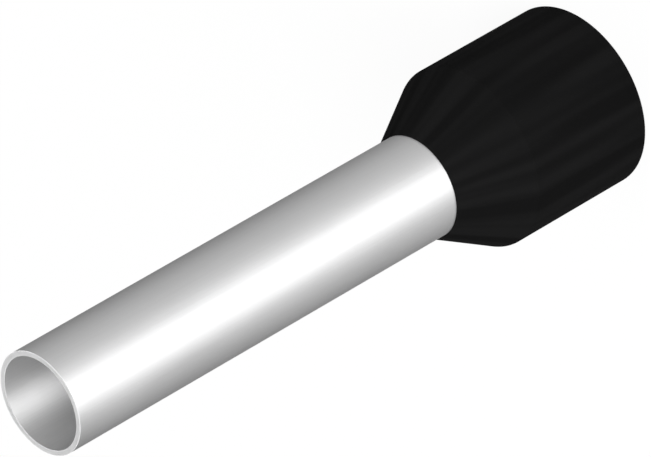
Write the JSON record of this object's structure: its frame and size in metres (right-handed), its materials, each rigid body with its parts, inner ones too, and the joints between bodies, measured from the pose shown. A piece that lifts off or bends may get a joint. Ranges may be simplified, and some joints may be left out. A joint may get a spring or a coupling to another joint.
{
  "type": "wire ferrule",
  "caption": "Insulated wire ferrule: a round tin-plated contact sleeve held by its belled end in a black plastic collar with a conical neck and a wide entry for the wire's insulation.",
  "frame": {"origin": "centre of the collar's open end, on the surface that the ferrule stands on", "axes": "+Z along the common axis of sleeve and collar, towards the tip of the sleeve; X and Y are any pair square to it, because the ferrule is round"},
  "size_m": [0.0068, 0.0068, 0.026],
  "materials": {
    "tin_plate": "satin tin plate on a drawn copper tube",
    "collar_plastic": "black moulded plastic with a soft sheen"
  },
  "bodies": {
    "root": {"contact_sleeve": "tin_plate", "insulating_collar": "collar_plastic"}
  },
  "joints": []
}
